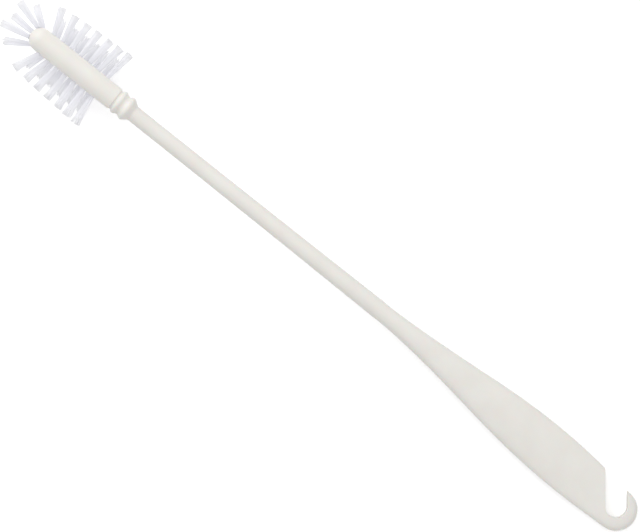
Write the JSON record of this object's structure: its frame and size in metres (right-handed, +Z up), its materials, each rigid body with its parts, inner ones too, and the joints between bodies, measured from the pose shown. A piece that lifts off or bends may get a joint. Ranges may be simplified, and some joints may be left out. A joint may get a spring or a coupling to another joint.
{
  "type": "bottle brush",
  "caption": "Long-handled bottle brush with a drilled, domed core of nylon tufts, a round rod and a flat grip that ends in a hanging hook.",
  "frame": {"origin": "middle of the bounding box at its underside, on the surface that the brush lies on", "axes": "+X along the handle from the brush end to the hook, +Y across the grip towards the side where the hook opens, +Z up from the surface"},
  "size_m": [0.3994, 0.0448, 0.0246],
  "materials": {
    "handle_polypropylene": "moulded, satin",
    "bristle_nylon": "drawn filament, clear white",
    "anchor_wire": "flat stainless wire, cut"
  },
  "bodies": {
    "root": {"handle": "handle_polypropylene", "tuft_anchors": "anchor_wire", "tuft_left_back_1": "bristle_nylon", "tuft_left_back_2": "bristle_nylon", "tuft_left_back_3": "bristle_nylon", "tuft_left_back_4": "bristle_nylon", "tuft_left_back_5": "bristle_nylon", "tuft_left_back_6": "bristle_nylon", "tuft_left_side_1": "bristle_nylon", "tuft_left_side_2": "bristle_nylon", "tuft_left_side_3": "bristle_nylon", "tuft_left_side_4": "bristle_nylon", "tuft_left_side_5": "bristle_nylon", "tuft_left_side_6": "bristle_nylon", "tuft_left_side_7": "bristle_nylon", "tuft_right_back_1": "bristle_nylon", "tuft_right_back_2": "bristle_nylon", "tuft_right_back_3": "bristle_nylon", "tuft_right_back_4": "bristle_nylon", "tuft_right_back_5": "bristle_nylon", "tuft_right_back_6": "bristle_nylon", "tuft_right_side_1": "bristle_nylon", "tuft_right_side_2": "bristle_nylon", "tuft_right_side_3": "bristle_nylon", "tuft_right_side_4": "bristle_nylon", "tuft_right_side_5": "bristle_nylon", "tuft_right_side_6": "bristle_nylon", "tuft_right_side_7": "bristle_nylon", "tuft_tip_1": "bristle_nylon", "tuft_tip_2": "bristle_nylon", "tuft_tip_3": "bristle_nylon", "tuft_tip_4": "bristle_nylon", "tuft_tip_5": "bristle_nylon"}
  },
  "joints": []
}
